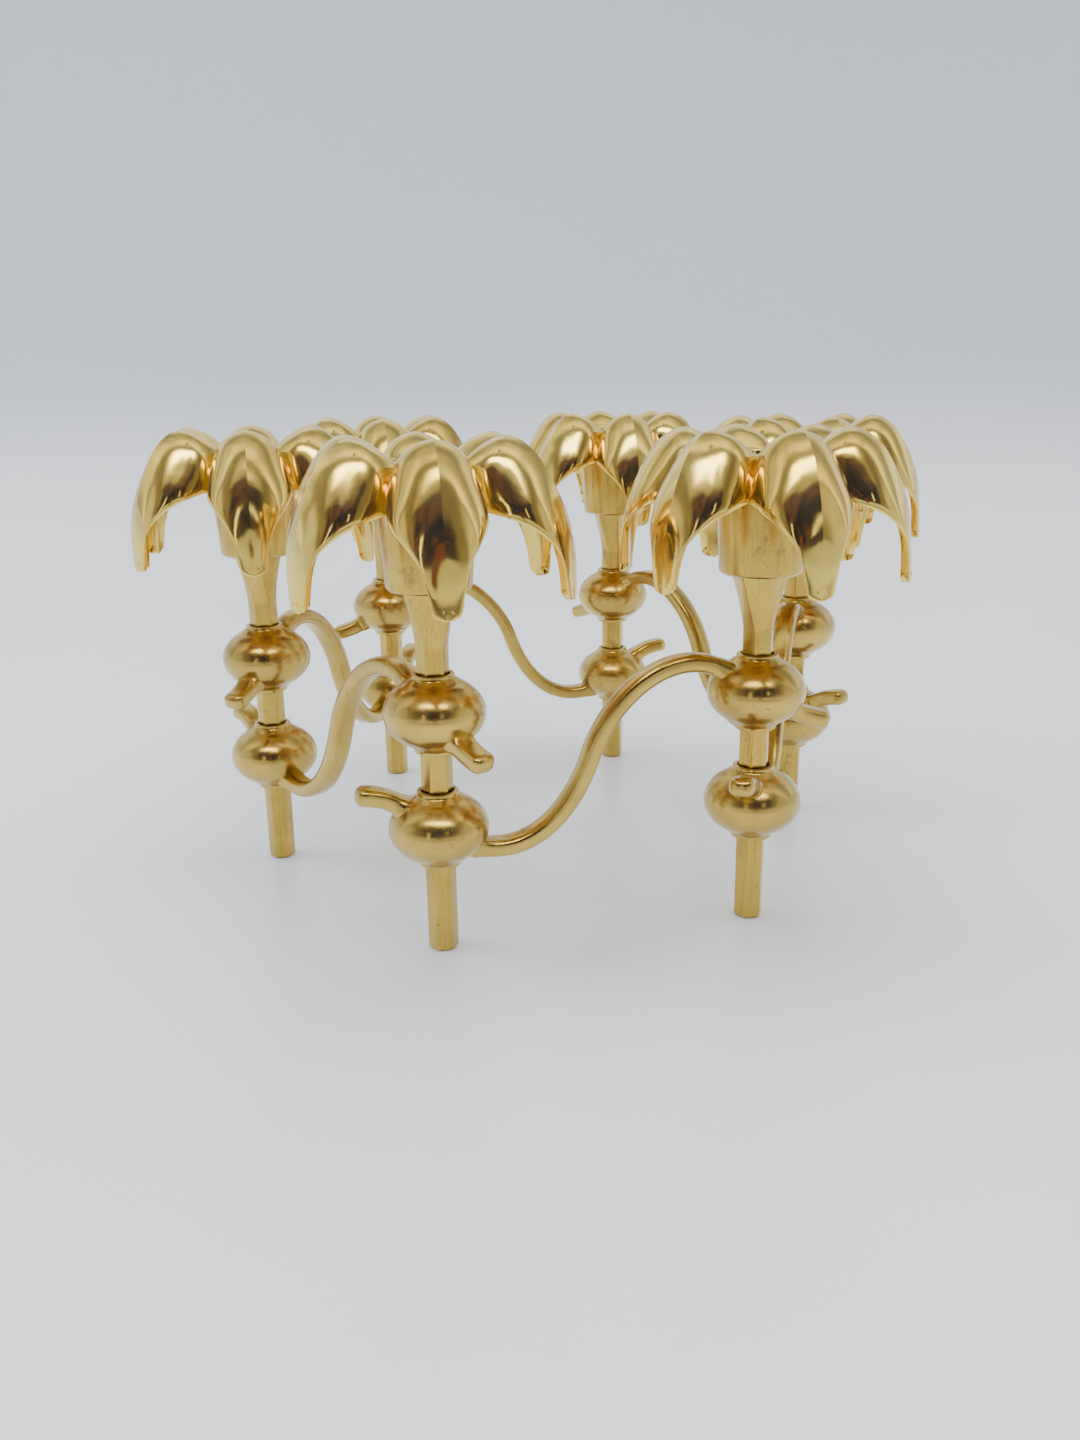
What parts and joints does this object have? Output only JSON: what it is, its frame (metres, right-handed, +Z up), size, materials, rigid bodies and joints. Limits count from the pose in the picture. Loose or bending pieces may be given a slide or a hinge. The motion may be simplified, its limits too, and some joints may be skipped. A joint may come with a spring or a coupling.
{
  "type": "candelabra",
  "caption": "Low tabletop candelabra: a closed ring of candle stems with drooping petal crowns, joined by swivelling S-shaped arms with pierced balls.",
  "frame": {"origin": "on the table, under the middle of the ring of stems", "axes": "+Z up along the candles; +X through stem 1; stems follow at every 60 degrees counter-clockwise"},
  "size_m": [0.2284, 0.2144, 0.1272],
  "materials": {
    "post_metal": "satin gold plate, fine grain",
    "crown_metal": "mirror-polished pale gold plate",
    "arm_metal": "burnished gold plate, slightly tarnished"
  },
  "bodies": {
    "stem_1": {"post_1": "post_metal", "crown_1": "crown_metal", "arm_1": "arm_metal"},
    "stem_2": {"post_2": "post_metal", "crown_2": "crown_metal", "arm_2": "arm_metal"},
    "stem_3": {"post_3": "post_metal", "crown_3": "crown_metal", "arm_3": "arm_metal"},
    "stem_4": {"post_4": "post_metal", "crown_4": "crown_metal", "arm_4": "arm_metal"},
    "stem_5": {"post_5": "post_metal", "crown_5": "crown_metal", "arm_5": "arm_metal"},
    "stem_6": {"post_6": "post_metal", "crown_6": "crown_metal", "arm_6": "arm_metal"}
  },
  "joints": [
    {"name": "swivel_2", "type": "hinge", "parent": "stem_1", "child": "stem_2", "pos_m": [0.041, 0.07101, 0.0621], "axis": [0, 0, 1], "range_deg": [-60, 60]},
    {"name": "swivel_3", "type": "hinge", "parent": "stem_2", "child": "stem_3", "pos_m": [-0.041, 0.07101, 0.0621], "axis": [0, 0, 1], "range_deg": [-60, 60]},
    {"name": "swivel_4", "type": "hinge", "parent": "stem_3", "child": "stem_4", "pos_m": [-0.082, 0, 0.0621], "axis": [0, 0, 1], "range_deg": [-60, 60]},
    {"name": "swivel_5", "type": "hinge", "parent": "stem_4", "child": "stem_5", "pos_m": [-0.041, -0.07101, 0.0621], "axis": [0, 0, 1], "range_deg": [-60, 60]},
    {"name": "swivel_6", "type": "hinge", "parent": "stem_5", "child": "stem_6", "pos_m": [0.041, -0.07101, 0.0621], "axis": [0, 0, 1], "range_deg": [-60, 60]}
  ],
  "couplings": [
    {"joint": "swivel_3", "follows": "swivel_2", "ratio": -1},
    {"joint": "swivel_4", "follows": "swivel_2", "ratio": 1},
    {"joint": "swivel_5", "follows": "swivel_2", "ratio": -1},
    {"joint": "swivel_6", "follows": "swivel_2", "ratio": 1}
  ]
}
